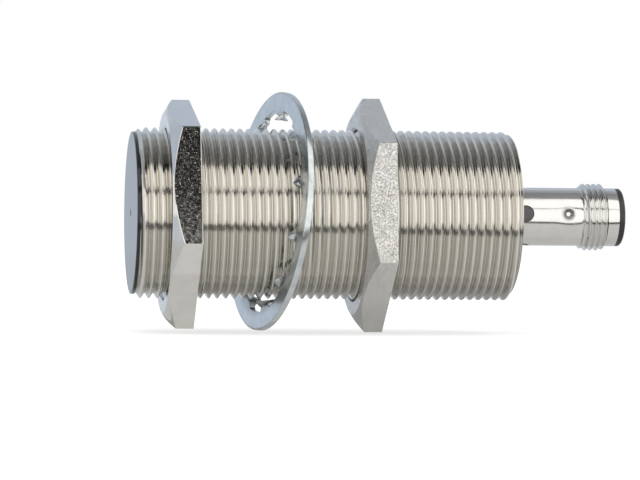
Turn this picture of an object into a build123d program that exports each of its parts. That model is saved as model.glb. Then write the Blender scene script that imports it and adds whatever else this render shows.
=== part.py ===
from build123d import *
import os
from math import copysign, cos, radians, sin, sqrt, tan

# Inductive proximity sensor with an M30 x 1.5 barrel and an M12 plug, in millimetres.
# X runs along the barrel from the sensing face to the plug, Z is up, and the origin is
# the centre of the sensing face. Roll angles are measured from -Y towards +Z.
# The barrel's thread is a row of plain ring grooves. The plug's thread and the nuts'
# bores are plain cylinders.

# Fits
slip_gap = 0.05  # radial, between pieces pushed into one another
thread_gap = 0.05  # radial, between a nut and the barrel it turns on
groove_play = 0.2  # a groove is this much wider than the ring in it

# Barrel: a tube, threaded over its whole length. Its radius is that of the thread's crests
barrel_length = 66.35
barrel_radius = 14.93
barrel_wall = 1.73  # from the thread's crests to the bore
barrel_chamfer = 0.75
barrel_thread_pitch = 1.5
barrel_thread_depth = 0.92
barrel_thread_angle = 60.0

# Sensing cap: a cup whose lip covers the barrel's end
lip_thickness = 0.6
lip_chamfer = 0.12
face_wall = 1.0
skirt_setback = 0.1  # in front of the core holder's rear face
skirt_wall = 1.3
cap_ring_section = 0.8

# Pot core, shield ring, spool and winding
shield_wall = 0.6
core_height = 6.8
core_floor = 2.0
core_wall = 2.0
core_hole_radius = 2.2
core_rounding = 0.3
core_slot_width = 3.2
face_gap = 0.1  # between the core's open side and the cap
spool_wall = 0.5
winding_inset = 0.5  # the winding's outside below the spool's rim
winding_depth = 3.3

# Core holder: a disc with a fork for the board
holder_thickness = 1.8
fork_length = 5.0
fork_lead_gap = 0.6  # on either side, from the fork to the coil leads
fork_height = 4.6
fork_rounding = 0.6

# Circuit board along the axis, with a tongue into the neck
board_thickness = 1.0
board_margin = 2.2  # from the board's edge to the barrel's bore
board_rear_gap = 2.5  # from the wide part to the neck's flange
board_corner = 1.0
tongue_margin = 0.8  # from the tongue's edge to the light guide

# Parts on the board: size along X, across it, and height
chip_size = (5.0, 4.0, 1.5)
chip_leg_size = (0.4, 1.0, 0.3)
chip_leg_pitch = 1.27
transistor_size = (3.5, 6.5, 1.6)
transistor_leg_size = (1.2, 0.8, 0.4)
transistor_leg_pitch = 2.3
transistor_tab_width = 3.0
tantalum_size = (6.0, 3.2, 2.5)
ceramic_size = (2.0, 1.25, 0.9)
ceramic_pitch = 3.2
resistor_size = (1.6, 0.8, 0.45)
resistor_pitch = 2.4
led_size = (1.6, 1.2, 0.8)
moulding_radius = 0.2

# Where the parts lie: distance behind the board's front edge, and across it
chip_place = (13.0, 3.5)
transistor_place = (38.0, -2.0)
tantalum_place = (27.0, 4.5)
ceramic_place = (26.0, -4.5)
resistor_place = (14.5, -4.5)

# Wires
coil_lead_radius = 0.25
coil_lead_landing = 4.0  # length lying on the board
pin_lead_radius = 0.3
pin_lead_landing = 1.2
pin_lead_bend_radius = 0.5
pin_lead_straight = 0.4  # before the first bend and after the second

# Neck and plug
flange_step = 0.5  # the flange's seat is this much wider than the bore
flange_thickness = 2.6
flange_recess = 0.6
flange_ring_section = 0.9
neck_wall = 0.5
neck_length = 19.9  # from the flange to the end of the metal
spigot_length = 1.55
spigot_chamfer = 0.1
plug_thread_radius = 6.0
neck_step = 0.85  # the neck's surface below the thread's crests
spigot_step = 0.875  # the spigot's surface below the thread's crests
plug_thread_length = 5.1
plug_thread_chamfer = 0.5
window_radius = 1.48
window_offset = 2.35  # behind the barrel's rear edge
shell_roll = 6.0  # of the first window and the stake mark
stake_offset = 2.4  # in front of the plug's thread
stake_crater_radius = 0.75
stake_depth = 0.35
stake_wall = 0.3

# Light guide: a ring with a lug in each window
guide_wall = 1.2
guide_margin = 0.8  # beyond the windows, along the axis
guide_recess = 0.15  # lugs below the neck's surface

# Contact carrier and pins
carrier_setback = 1.9  # behind the light guide, room for the leads' bends
carrier_rim_length = 1.05
carrier_rim_chamfer = 0.25
carrier_ring_section = 0.7
socket_wall = 0.4
socket_depth = 8.1
key_width = 1.0
key_height = 0.6
key_setback = 0.9  # from the rim to the key's end
key_roll = 90.0
pin_count = 4
pin_radius = 0.5
pin_circle_radius = 2.5
pin_setback = 1.4  # from the rim to the pins' tips
pin_tail = 0.8
pin_tip_radius = 0.3

# Nuts: chamfered on the side towards the sensing face
nut_across_flats = 36.0
nut_thickness = 5.0
nut_chamfer_inset = 0.5  # where the chamfer starts, in from the flats
nut_chamfer_angle = 30.0
nut_mouth_chamfer = 0.4
nut_front_seat = 10.66  # its rear face, from the sensing face
nut_front_roll = 15.42
nut_rear_seat = 44.23
nut_rear_roll = 6.75

# Lock washer: stamped ring with twisted teeth, tilted on the barrel
washer_band = 3.2  # flat ring outside the teeth
washer_thickness = 1.05
washer_station = 24.5
washer_rest_gap = 0.42  # between its lowest tooth and the barrel
washer_yaw = 11.15  # its -Y side leans back
washer_pitch = 5.8  # its top leans back
tooth_clearance = 1.0  # the tooth tips' circle is this much larger than the barrel
tooth_length = 1.87
tooth_neck = 0.7  # flat part, before the twist starts
tooth_count = 11
tooth_width = 3.8
tooth_twist = 30.0
tooth_first = 1.5  # from the top towards -Y
tooth_fillet = 0.5

# Radii that follow from the sizes above
barrel_bore_radius = barrel_radius - barrel_wall
skirt_radius = barrel_bore_radius - slip_gap
skirt_bore_radius = skirt_radius - skirt_wall
shield_radius = skirt_bore_radius - slip_gap
core_radius = shield_radius - shield_wall - slip_gap
spool_radius = core_radius - core_wall - slip_gap
winding_radius = spool_radius - winding_inset
winding_bore_radius = winding_radius - winding_depth
spool_bore_radius = winding_bore_radius - slip_gap - spool_wall
core_post_radius = spool_bore_radius - slip_gap
flange_seat_radius = barrel_bore_radius + flange_step
neck_radius = plug_thread_radius - neck_step
spigot_radius = plug_thread_radius - spigot_step
neck_bore_radius = neck_radius - neck_wall
guide_radius = neck_bore_radius - slip_gap
guide_bore_radius = guide_radius - guide_wall
carrier_radius = neck_bore_radius - slip_gap
socket_radius = carrier_radius - socket_wall

# Stations along the axis that follow from the sizes above
barrel_front = lip_thickness
barrel_rear = barrel_front + barrel_length
core_front = face_wall + face_gap
core_rear = core_front + core_height
holder_rear = core_rear + holder_thickness
skirt_rear = holder_rear - skirt_setback
flange_rear = barrel_rear - flange_recess
flange_front = flange_rear - flange_thickness
neck_end = flange_rear + neck_length
plug_thread_end = neck_end - spigot_length
plug_thread_start = plug_thread_end - plug_thread_length
window_station = barrel_rear + window_offset
guide_front = window_station - window_radius - guide_margin
guide_rear = window_station + window_radius + guide_margin
stake_station = plug_thread_start - stake_offset
rim_end = neck_end + carrier_rim_length
socket_floor = rim_end - socket_depth
carrier_front = guide_rear + carrier_setback
pin_front = carrier_front - pin_tail
board_front = holder_rear
board_rear = flange_front - board_rear_gap
board_face = board_thickness / 2
tongue_end = guide_rear - guide_margin


def radial_plane(station, roll):
    """Plane through the axis at a station, facing outwards at a roll angle."""
    outward = (0, -cos(radians(roll)), sin(radians(roll)))
    return Plane(origin=(station, 0, 0), x_dir=(1, 0, 0), z_dir=outward)


def board_plane(place):
    """Plane on the board's upper face, at a place on the board."""
    return Plane(origin=(board_front + place[0], place[1], board_face))


def save(shape, name):
    """Label a finished piece and write it to its own file."""
    shape.label = name
    export_step(shape, f"parts/{name}.step")


def o_ring(name, station, groove_radius, section):
    """O-ring that lies in a groove of the given radius."""
    with BuildPart() as ring:
        with BuildSketch(Plane.XY):
            with Locations((station, groove_radius + section / 2)):
                Circle((section - slip_gap) / 2)
        revolve(axis=Axis.X)
    save(ring.part, name)


def cut_groove(station, groove_radius, section, reach):
    """Take an O-ring's groove out of the profile that is being drawn."""
    with Locations((station, groove_radius)):
        Rectangle(
            section + groove_play,
            reach - groove_radius,
            align=(Align.CENTER, Align.MIN),
            mode=Mode.SUBTRACT,
        )


os.makedirs("parts", exist_ok=True)

# Housing barrel: tube with a wider seat for the neck's flange at its rear, and the thread's
# grooves spread evenly over its length
groove_half_width = barrel_thread_depth * tan(radians(barrel_thread_angle / 2))
groove_count = int(barrel_length / barrel_thread_pitch)
with BuildPart() as housing_barrel:
    with BuildSketch(Plane.XY):
        with BuildLine():
            Polyline(
                (barrel_front, barrel_bore_radius),
                (barrel_front, barrel_radius - barrel_chamfer),
                (barrel_front + barrel_chamfer, barrel_radius),
                (barrel_rear - barrel_chamfer, barrel_radius),
                (barrel_rear, barrel_radius - barrel_chamfer),
                (barrel_rear, flange_seat_radius),
                (flange_front, flange_seat_radius),
                (flange_front, barrel_bore_radius),
                close=True,
            )
        make_face()
        with Locations(((barrel_front + barrel_rear) / 2, barrel_radius)):
            with GridLocations(barrel_thread_pitch, 0, groove_count, 1):
                Polygon(
                    (-groove_half_width, 0),
                    (0, -barrel_thread_depth),
                    (groove_half_width, 0),
                    align=None,
                    mode=Mode.SUBTRACT,
                )
    revolve(axis=Axis.X)
save(housing_barrel.part, "housing_barrel")

# Sensing cap: cup with a lip over the barrel's end and a groove round its skirt
cap_groove_station = (barrel_front + skirt_rear) / 2
cap_groove_radius = barrel_bore_radius - cap_ring_section
lip_radius = barrel_radius - barrel_chamfer
with BuildPart() as sensing_cap:
    with BuildSketch(Plane.XY):
        with BuildLine():
            Polyline(
                (0, 0),
                (0, lip_radius - lip_chamfer),
                (lip_chamfer, lip_radius),
                (lip_thickness, lip_radius),
                (lip_thickness, skirt_radius),
                (skirt_rear, skirt_radius),
                (skirt_rear, skirt_bore_radius),
                (face_wall, skirt_bore_radius),
                (face_wall, 0),
                close=True,
            )
        make_face()
        cut_groove(cap_groove_station, cap_groove_radius, cap_ring_section, barrel_radius)
    revolve(axis=Axis.X)
save(sensing_cap.part, "sensing_cap")

o_ring("cap_seal_ring", cap_groove_station, cap_groove_radius, cap_ring_section)

# Shield ring: thin tube between the core and the cap's skirt
with BuildPart() as shield_ring:
    with BuildSketch(Plane.YZ.offset(core_front)):
        Circle(shield_radius)
        Circle(shield_radius - shield_wall, mode=Mode.SUBTRACT)
    extrude(amount=core_height)
save(shield_ring.part, "shield_ring")

# Coil leads: two wires from the winding's rear, lying on the board's upper face
spool_front = core_front + face_gap
spool_rear = core_rear - core_floor - face_gap
winding_front = spool_front + spool_wall
winding_rear = spool_rear - spool_wall
lead_reach = winding_radius - coil_lead_radius
lead_height = board_face + coil_lead_radius
slot_depth = core_radius - lead_reach + coil_lead_radius + slip_gap
with BuildPart() as coil_leads:
    with BuildSketch(Plane.YZ.offset(winding_rear)):
        with Locations((-lead_reach, lead_height), (lead_reach, lead_height)):
            Circle(coil_lead_radius)
    extrude(amount=board_front + coil_lead_landing - winding_rear)
save(coil_leads.part, "coil_leads")

# Pot core: half pot with a hollow post, open towards the face, slotted for the leads
with BuildPart() as pot_core:
    with BuildSketch(Plane.YZ.offset(core_front)):
        Circle(core_radius)
        Circle(core_hole_radius, mode=Mode.SUBTRACT)
    extrude(amount=core_height)
    fillet(pot_core.edges().group_by(Axis.X)[-1].sort_by(SortBy.LENGTH)[-1], core_rounding)
    with BuildSketch(Plane.YZ.offset(core_front)):
        Circle(core_radius - core_wall)
        Circle(core_post_radius, mode=Mode.SUBTRACT)
    extrude(amount=core_height - core_floor, mode=Mode.SUBTRACT)
    with BuildSketch(Plane.YZ.offset(core_front)):
        with Locations((-core_radius, 0), (core_radius, 0)):
            Rectangle(2 * slot_depth, core_slot_width)
    extrude(amount=core_height, mode=Mode.SUBTRACT)
save(pot_core.part, "pot_core")

# Coil bobbin: spool on the post, its rear flange notched where the leads pass
with BuildPart() as coil_bobbin:
    with BuildSketch(Plane.YZ.offset(spool_front)):
        Circle(spool_radius)
        Circle(spool_bore_radius, mode=Mode.SUBTRACT)
    extrude(amount=spool_rear - spool_front)
    with BuildSketch(Plane.YZ.offset(winding_front)):
        Circle(spool_radius)
        Circle(spool_bore_radius + spool_wall, mode=Mode.SUBTRACT)
    extrude(amount=winding_rear - winding_front, mode=Mode.SUBTRACT)
    with BuildSketch(Plane.YZ.offset(winding_rear)):
        with Locations((-core_radius, 0), (core_radius, 0)):
            Rectangle(2 * slot_depth, core_slot_width)
    extrude(amount=spool_wall, mode=Mode.SUBTRACT)
save(coil_bobbin.part, "coil_bobbin")

# Coil winding: the turns as one ring between the spool's flanges
with BuildPart() as coil_winding:
    with BuildSketch(Plane.YZ.offset(winding_front)):
        Circle(winding_radius)
        Circle(winding_bore_radius, mode=Mode.SUBTRACT)
    extrude(amount=winding_rear - winding_front)
save(coil_winding.part, "coil_winding")

# Core holder: disc behind the core, with a fork that grips the board's front edge
fork_width = 2 * (lead_reach - coil_lead_radius - fork_lead_gap)
with BuildPart() as core_holder:
    with BuildSketch(Plane.YZ.offset(core_rear)):
        Circle(skirt_bore_radius - slip_gap)
        with Locations((-lead_reach, lead_height), (lead_reach, lead_height)):
            Circle(coil_lead_radius + slip_gap, mode=Mode.SUBTRACT)
    extrude(amount=holder_thickness)
    with BuildSketch(Plane.YZ.offset(holder_rear)):
        RectangleRounded(fork_width, fork_height, fork_rounding)
        Rectangle(fork_width, board_thickness, mode=Mode.SUBTRACT)
    extrude(amount=fork_length)
save(core_holder.part, "core_holder")

# Circuit board: wide part behind the holder, and a tongue that reaches into the neck
board_width = 2 * (barrel_bore_radius - board_margin)
tongue_width = 2 * (guide_bore_radius - tongue_margin)
from_front = (Align.MIN, Align.CENTER)
with BuildPart() as circuit_board:
    with BuildSketch(Plane.XY):
        with Locations((board_front, 0)):
            Rectangle(board_rear - board_front, board_width, align=from_front)
            Rectangle(tongue_end - board_front, tongue_width, align=from_front)
    extrude(amount=board_face, both=True)
    fillet(circuit_board.edges().filter_by(Axis.Z).group_by(Axis.X)[1], board_corner)
save(circuit_board.part, "circuit_board")

# Oscillator chip: moulded body with a row of legs on either side
with BuildPart() as oscillator_chip:
    with BuildSketch(board_plane(chip_place)):
        Rectangle(chip_size[0], chip_size[1])
    extrude(amount=chip_size[2])
    chamfer(oscillator_chip.faces().sort_by(Axis.Z)[-1].edges(), moulding_radius)
    with BuildSketch(board_plane(chip_place)):
        with GridLocations(chip_leg_pitch, chip_size[1] + chip_leg_size[1], 4, 2):
            Rectangle(chip_leg_size[0], chip_leg_size[1])
    extrude(amount=chip_leg_size[2])
save(oscillator_chip.part, "oscillator_chip")

# Output transistor: moulded body, three legs in front and a cooling tab behind
with BuildPart() as output_transistor:
    with BuildSketch(board_plane(transistor_place)):
        Rectangle(transistor_size[0], transistor_size[1])
    extrude(amount=transistor_size[2])
    chamfer(output_transistor.faces().sort_by(Axis.Z)[-1].edges(), moulding_radius)
    with BuildSketch(board_plane(transistor_place)):
        leg_reach = (transistor_size[0] + transistor_leg_size[0]) / 2
        with Locations((-leg_reach, 0)):
            with GridLocations(0, transistor_leg_pitch, 1, 3):
                Rectangle(transistor_leg_size[0], transistor_leg_size[1])
        with Locations((leg_reach, 0)):
            Rectangle(transistor_leg_size[0], transistor_tab_width)
    extrude(amount=transistor_leg_size[2])
save(output_transistor.part, "output_transistor")

# Tantalum capacitor: one moulded block
with BuildPart() as tantalum_capacitor:
    with BuildSketch(board_plane(tantalum_place)):
        Rectangle(tantalum_size[0], tantalum_size[1])
    extrude(amount=tantalum_size[2])
    chamfer(tantalum_capacitor.faces().sort_by(Axis.Z)[-1].edges(), moulding_radius)
save(tantalum_capacitor.part, "tantalum_capacitor")

# Ceramic capacitors: a group of like blocks
with BuildPart() as ceramic_capacitors:
    with BuildSketch(board_plane(ceramic_place)):
        with GridLocations(ceramic_pitch, ceramic_pitch, 3, 2):
            Rectangle(ceramic_size[0], ceramic_size[1])
    extrude(amount=ceramic_size[2])
save(ceramic_capacitors.part, "ceramic_capacitors")

# Chip resistors: a group of like, thinner blocks
with BuildPart() as chip_resistors:
    with BuildSketch(board_plane(resistor_place)):
        with GridLocations(resistor_pitch, resistor_pitch, 3, 2):
            Rectangle(resistor_size[0], resistor_size[1])
    extrude(amount=resistor_size[2])
save(chip_resistors.part, "chip_resistors")

# Status lights: one on each face of the tongue, inside the light guide
with BuildPart() as status_leds:
    for side in (1, -1):
        with BuildSketch(Plane.XY.offset(side * board_face)):
            with Locations((window_station, 0)):
                Rectangle(led_size[0], led_size[1])
        extrude(amount=side * led_size[2])
save(status_leds.part, "status_leds")

# Connector shell: flange in the barrel's seat, neck with windows, thread and spigot
flange_radius = flange_seat_radius - slip_gap
flange_groove_station = flange_front + flange_thickness / 2
flange_groove_radius = flange_seat_radius - flange_ring_section
flare_end = plug_thread_start + plug_thread_radius - neck_radius
stake_ball_radius = (stake_crater_radius**2 + stake_depth**2) / (2 * stake_depth)
stake_ball_centre = neck_radius - stake_depth + stake_ball_radius
stake_bulge_radius = stake_ball_radius + stake_wall
stake_bulge_reach = sqrt(stake_bulge_radius**2 - (stake_ball_centre - neck_bore_radius) ** 2)
with BuildPart() as connector_shell:
    with BuildSketch(Plane.XY):
        with BuildLine():
            Polyline(
                (flange_front, neck_bore_radius),
                (flange_front, flange_radius),
                (flange_rear, flange_radius),
                (flange_rear, neck_radius),
                (plug_thread_start, neck_radius),
                (flare_end, plug_thread_radius),
                (plug_thread_end - plug_thread_chamfer, plug_thread_radius),
                (plug_thread_end, plug_thread_radius - plug_thread_chamfer),
                (plug_thread_end, spigot_radius),
                (neck_end - spigot_chamfer, spigot_radius),
                (neck_end, spigot_radius - spigot_chamfer),
                (neck_end, neck_bore_radius),
                close=True,
            )
        make_face()
        cut_groove(
            flange_groove_station, flange_groove_radius, flange_ring_section, flange_seat_radius
        )
    revolve(axis=Axis.X)
    for quarter in range(4):
        with BuildSketch(radial_plane(window_station, shell_roll + 90 * quarter)):
            Circle(window_radius)
        extrude(amount=flange_radius, mode=Mode.SUBTRACT)
    with Locations(radial_plane(stake_station, shell_roll).offset(stake_ball_centre)):
        Sphere(stake_bulge_radius, arc_size1=-90, arc_size2=-45)
        Sphere(stake_ball_radius, mode=Mode.SUBTRACT)
save(connector_shell.part, "connector_shell")

o_ring("shell_seal_ring", flange_groove_station, flange_groove_radius, flange_ring_section)

# Light guide: ring in the neck with a round lug in each window
with BuildPart() as light_guide:
    with BuildSketch(Plane.YZ.offset(guide_front)):
        Circle(guide_radius)
    extrude(amount=guide_rear - guide_front)
    for quarter in range(4):
        with BuildSketch(radial_plane(window_station, shell_roll + 90 * quarter)):
            Circle(window_radius - slip_gap)
        extrude(amount=neck_radius)
    with BuildSketch(Plane.YZ.offset(guide_front)):
        Circle(neck_radius - guide_recess)
        Circle(guide_bore_radius, mode=Mode.SUBTRACT)
    extrude(amount=guide_rear - guide_front, mode=Mode.INTERSECT)
save(light_guide.part, "light_guide")

# Contact carrier: solid base with a seal and a stake groove, then the keyed socket
carrier_groove_radius = neck_bore_radius - carrier_ring_section
stake_groove_radius = stake_ball_centre - stake_bulge_radius - slip_gap
stake_groove_width = 2 * stake_bulge_reach + groove_play
carrier_groove_station = (carrier_front + stake_station - stake_groove_width / 2) / 2
pin_rolls = [key_roll + 45 + 360 / pin_count * number for number in range(pin_count)]
pin_places = [
    (-pin_circle_radius * cos(radians(roll)), pin_circle_radius * sin(radians(roll)))
    for roll in pin_rolls
]
with BuildPart() as contact_carrier:
    with BuildSketch(Plane.XY):
        with BuildLine():
            Polyline(
                (carrier_front, 0),
                (carrier_front, carrier_radius),
                (neck_end, carrier_radius),
                (neck_end, spigot_radius),
                (rim_end - carrier_rim_chamfer, spigot_radius),
                (rim_end, spigot_radius - carrier_rim_chamfer),
                (rim_end, socket_radius),
                (socket_floor, socket_radius),
                (socket_floor, 0),
                close=True,
            )
        make_face()
        cut_groove(
            carrier_groove_station, carrier_groove_radius, carrier_ring_section, carrier_radius
        )
        with Locations((stake_station, stake_groove_radius)):
            Rectangle(
                stake_groove_width,
                neck_radius - stake_groove_radius,
                align=(Align.CENTER, Align.MIN),
                mode=Mode.SUBTRACT,
            )
    revolve(axis=Axis.X)
    with BuildSketch(Plane.YZ.offset(socket_floor)):
        with Locations(Location((0, 0), 180 - key_roll)):
            with Locations((socket_radius + socket_wall / 2, 0)):
                Rectangle(
                    key_height + socket_wall / 2, key_width, align=(Align.MAX, Align.CENTER)
                )
    extrude(amount=socket_depth - key_setback)
    with BuildSketch(Plane.YZ.offset(carrier_front)):
        with Locations(pin_places):
            Circle(pin_radius + slip_gap)
    extrude(amount=socket_floor - carrier_front, mode=Mode.SUBTRACT)
save(contact_carrier.part, "contact_carrier")

o_ring(
    "carrier_seal_ring", carrier_groove_station, carrier_groove_radius, carrier_ring_section
)

# Contact pins: round pins through the carrier's base, rounded at the tip
for number, place in enumerate(pin_places, start=1):
    with BuildPart() as contact_pin:
        with BuildSketch(Plane.YZ.offset(pin_front)):
            with Locations(place):
                Circle(pin_radius)
        extrude(amount=rim_end - pin_setback - pin_front)
        fillet(contact_pin.edges().group_by(Axis.X)[-1], pin_tip_radius)
    save(contact_pin.part, f"contact_pin_{number}")

# Pin leads: from the tongue's faces, bent outwards to the pins' tails
with BuildPart() as pin_leads:
    for across, height in pin_places:
        landing_height = copysign(board_face + pin_lead_radius, height)
        with BuildLine():
            lead_path = FilletPolyline(
                (tongue_end - pin_lead_landing, across, landing_height),
                (tongue_end + pin_lead_straight, across, landing_height),
                (pin_front - pin_lead_straight, across, height),
                (pin_front, across, height),
                radius=pin_lead_bend_radius,
            )
        with BuildSketch(Plane(origin=lead_path @ 0, z_dir=lead_path % 0)):
            Circle(pin_lead_radius)
        sweep(path=lead_path)
save(pin_leads.part, "pin_leads")

# Casting resin: fills barrel and neck round everything that the board carries
with BuildPart() as potting_resin:
    with BuildSketch(Plane.YZ.offset(holder_rear)):
        Circle(barrel_bore_radius - slip_gap)
    extrude(amount=flange_front - holder_rear)
    with BuildSketch(Plane.YZ.offset(flange_front)):
        Circle(neck_bore_radius - slip_gap)
    extrude(amount=carrier_front - flange_front)
    with BuildSketch(Plane.YZ.offset(guide_front)):
        Circle(neck_bore_radius)
        Circle(guide_bore_radius - slip_gap, mode=Mode.SUBTRACT)
    extrude(amount=guide_rear - guide_front, mode=Mode.SUBTRACT)
    for held in (
        core_holder,
        circuit_board,
        oscillator_chip,
        output_transistor,
        tantalum_capacitor,
        ceramic_capacitors,
        chip_resistors,
        status_leds,
        coil_leads,
        pin_leads,
    ):
        add(held.part, mode=Mode.SUBTRACT)
    with BuildSketch(Plane.YZ.offset(pin_front)):
        with Locations(pin_places):
            Circle(pin_radius + slip_gap)
    extrude(amount=pin_tail, mode=Mode.SUBTRACT)
save(potting_resin.part, "potting_resin")


def hex_nut(name, seat, roll):
    """Flat hexagon nut whose rear face lies at its seat, one flat facing the roll angle."""
    corner_radius = nut_across_flats / 2 / cos(radians(30)) + nut_mouth_chamfer
    chamfer_radius = nut_across_flats / 2 - nut_chamfer_inset
    chamfer_depth = (corner_radius - chamfer_radius) * tan(radians(nut_chamfer_angle))
    front = seat - nut_thickness
    bore_radius = barrel_radius + thread_gap
    mouth_radius = bore_radius + nut_mouth_chamfer
    with BuildPart() as nut:
        with BuildSketch(Plane.XY):
            with BuildLine():
                Polyline(
                    (front, mouth_radius),
                    (front, chamfer_radius),
                    (front + chamfer_depth, corner_radius),
                    (seat, corner_radius),
                    (seat, mouth_radius),
                    (seat - nut_mouth_chamfer, bore_radius),
                    (front + nut_mouth_chamfer, bore_radius),
                    close=True,
                )
            make_face()
        revolve(axis=Axis.X)
        with BuildSketch(Plane.YZ.offset(front)):
            RegularPolygon(nut_across_flats / 2, 6, major_radius=False, rotation=30 - roll)
        extrude(amount=nut_thickness, mode=Mode.INTERSECT)
    save(nut.part, name)


hex_nut("nut_front", nut_front_seat, nut_front_roll)
hex_nut("nut_rear", nut_rear_seat, nut_rear_roll)

# Lock washer: its own plane, with X towards its top and Z towards the plug
tip_radius = barrel_radius + tooth_clearance
ring_radius = tip_radius + tooth_length
neck_reach = ring_radius - tooth_neck
twist_reach = (neck_reach + tip_radius) / 2
washer_lift = tip_radius * cos(radians(washer_pitch)) - barrel_radius - washer_rest_gap
washer_axis = (
    cos(radians(washer_pitch)) * cos(radians(washer_yaw)),
    cos(radians(washer_pitch)) * sin(radians(washer_yaw)),
    -sin(radians(washer_pitch)),
)
washer_top = (sin(radians(washer_pitch)), 0, cos(radians(washer_pitch)))
washer_plane = Plane(
    origin=(washer_station, 0, washer_lift), x_dir=washer_top, z_dir=washer_axis
)


def tooth_plane(angle, reach, twist):
    """Plane across a tooth at a radius, turned about the tooth's own line."""
    return washer_plane * Location((0, 0, 0), (0, 0, angle)) * Location(
        (reach, 0, 0), (0, 90, 0)
    ) * Location((0, 0, 0), (0, 0, -twist))


with BuildPart() as lock_washer:
    with BuildSketch(washer_plane.offset(-washer_thickness / 2)) as blank:
        Circle(ring_radius + washer_band)
        Circle(ring_radius, mode=Mode.SUBTRACT)
        with PolarLocations(neck_reach, tooth_count, start_angle=tooth_first):
            Rectangle(
                tooth_neck + washer_thickness, tooth_width, align=(Align.MIN, Align.CENTER)
            )
        roots = blank.vertices().filter_by(
            lambda corner: abs(corner.center().length - ring_radius) < slip_gap
        )
        fillet(roots, tooth_fillet)
    extrude(amount=washer_thickness)
    for number in range(tooth_count):
        tooth_angle = tooth_first + 360 / tooth_count * number
        for reach, twist in (
            (neck_reach, 0),
            (twist_reach, tooth_twist * 0.7),
            (tip_radius, tooth_twist),
        ):
            with BuildSketch(tooth_plane(tooth_angle, reach, twist)):
                Rectangle(washer_thickness, tooth_width)
        loft()
save(lock_washer.part, "lock_washer")
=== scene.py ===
from math import acos, atan2, ceil, cos, pi, radians, sin, sqrt, tan

import bmesh
import bpy
from mathutils import Matrix, Vector


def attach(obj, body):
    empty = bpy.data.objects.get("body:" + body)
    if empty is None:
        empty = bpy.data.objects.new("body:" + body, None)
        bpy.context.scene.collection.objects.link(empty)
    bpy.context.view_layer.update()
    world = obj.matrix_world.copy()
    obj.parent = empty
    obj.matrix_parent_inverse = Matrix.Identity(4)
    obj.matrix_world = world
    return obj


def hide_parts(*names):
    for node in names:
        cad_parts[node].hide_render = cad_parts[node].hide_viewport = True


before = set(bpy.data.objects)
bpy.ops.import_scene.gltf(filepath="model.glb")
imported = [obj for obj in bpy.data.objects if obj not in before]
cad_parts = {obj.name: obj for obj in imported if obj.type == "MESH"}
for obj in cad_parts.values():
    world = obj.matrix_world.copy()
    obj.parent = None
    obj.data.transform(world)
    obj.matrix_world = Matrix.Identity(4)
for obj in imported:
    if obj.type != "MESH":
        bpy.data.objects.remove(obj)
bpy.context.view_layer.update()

# Housing barrel: brass tube with an M30 x 1.5 thread along its whole length and a
# chamfer at both ends, nickel-plated. The cap closes its front, and the neck's flange
# sits in the wider seat at its rear.
MM = 0.001
BARREL_FRONT, BARREL_REAR = 0.6, 66.95
BARREL_CREST = 14.92
BARREL_BORE, BARREL_SEAT, SEAT_FRONT = 13.2, 13.7, 63.75
BARREL_END = 14.18
PITCH, THREAD_DEPTH = 1.5, 0.92

# One turn of a thread: share of the pitch from the crest, and share of the depth below it
TURN = ((0.0, 0.0), (0.033, 0.008), (0.062, 0.05), (0.25, 0.5), (0.42, 0.942), (0.45, 0.988))
TURN_ROWS = [s for s, _ in TURN] + [0.5] + [1 - s for s, _ in reversed(TURN[1:])]


def thread_drop(turn):
    """Share of the thread's depth at a place along its pitch, 0 on the crest and 1 in the root."""
    away = abs(turn - round(turn))
    steps = list(TURN) + [(0.5, 1.0)]
    for (s0, d0), (s1, d1) in zip(steps, steps[1:]):
        if away <= s1:
            return d0 + (d1 - d0) * (away - s0) / (s1 - s0)
    return 1.0


def thread_line(start, end, pitch, angle, radius_at):
    """Points of a thread's outline along the axis, at an angle round it."""
    offset = angle / (2 * pi)
    line = []
    for turn in range(-2, ceil((end - start) / pitch) + 2):
        for row in TURN_ROWS:
            place = turn + row + offset
            x = min(max(start + place * pitch, start), end)
            line.append((x, radius_at(x, (x - start) / pitch - offset)))
    return line


def even_angles(steps):
    """Directions round the axis, the same step apart."""
    return [2 * pi * step / steps for step in range(steps)]


def turned_mesh(name, outline_at, angles, before=0, threaded=0, sharp=35):
    """Closed mesh of outlines round the axis. Thread rows move on by one turn at the join."""
    points, faces = [], []
    columns = [outline_at(angle) for angle in angles]
    rows, steps = len(columns[0]), len(columns)
    for angle, column in zip(angles, columns):
        for x, r in column:
            points.append((x * MM, r * cos(angle) * MM, r * sin(angle) * MM))

    def joined(row):
        if before <= row < before + threaded:
            return min(row + len(TURN_ROWS), before + threaded - 1)
        return row

    for step in range(steps):
        for row in range(rows):
            after = (row + 1) % rows
            if step < steps - 1:
                far, far_after = (step + 1) * rows + row, (step + 1) * rows + after
            else:
                far, far_after = joined(row), joined(after)
            faces.append((step * rows + row, step * rows + after, far_after, far))
    return finished_mesh(name, points, faces, sharp)


def finished_mesh(name, points, faces, sharp=35):
    """Mesh with doubled points merged, faces outwards and edges above an angle kept sharp."""
    same_point, no_length = 2e-7, 1e-8
    mesh = bpy.data.meshes.new(name)
    mesh.from_pydata(points, [], faces)
    work = bmesh.new()
    work.from_mesh(mesh)
    bmesh.ops.remove_doubles(work, verts=work.verts, dist=same_point)
    bmesh.ops.dissolve_degenerate(work, edges=work.edges, dist=no_length)
    bmesh.ops.recalc_face_normals(work, faces=work.faces)
    for face in work.faces:
        face.smooth = True
    for edge in work.edges:
        if len(edge.link_faces) == 2 and edge.calc_face_angle(0) > radians(sharp):
            edge.smooth = False
    work.to_mesh(mesh)
    work.free()
    piece = bpy.data.objects.new(name, mesh)
    bpy.context.scene.collection.objects.link(piece)
    return piece


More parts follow.
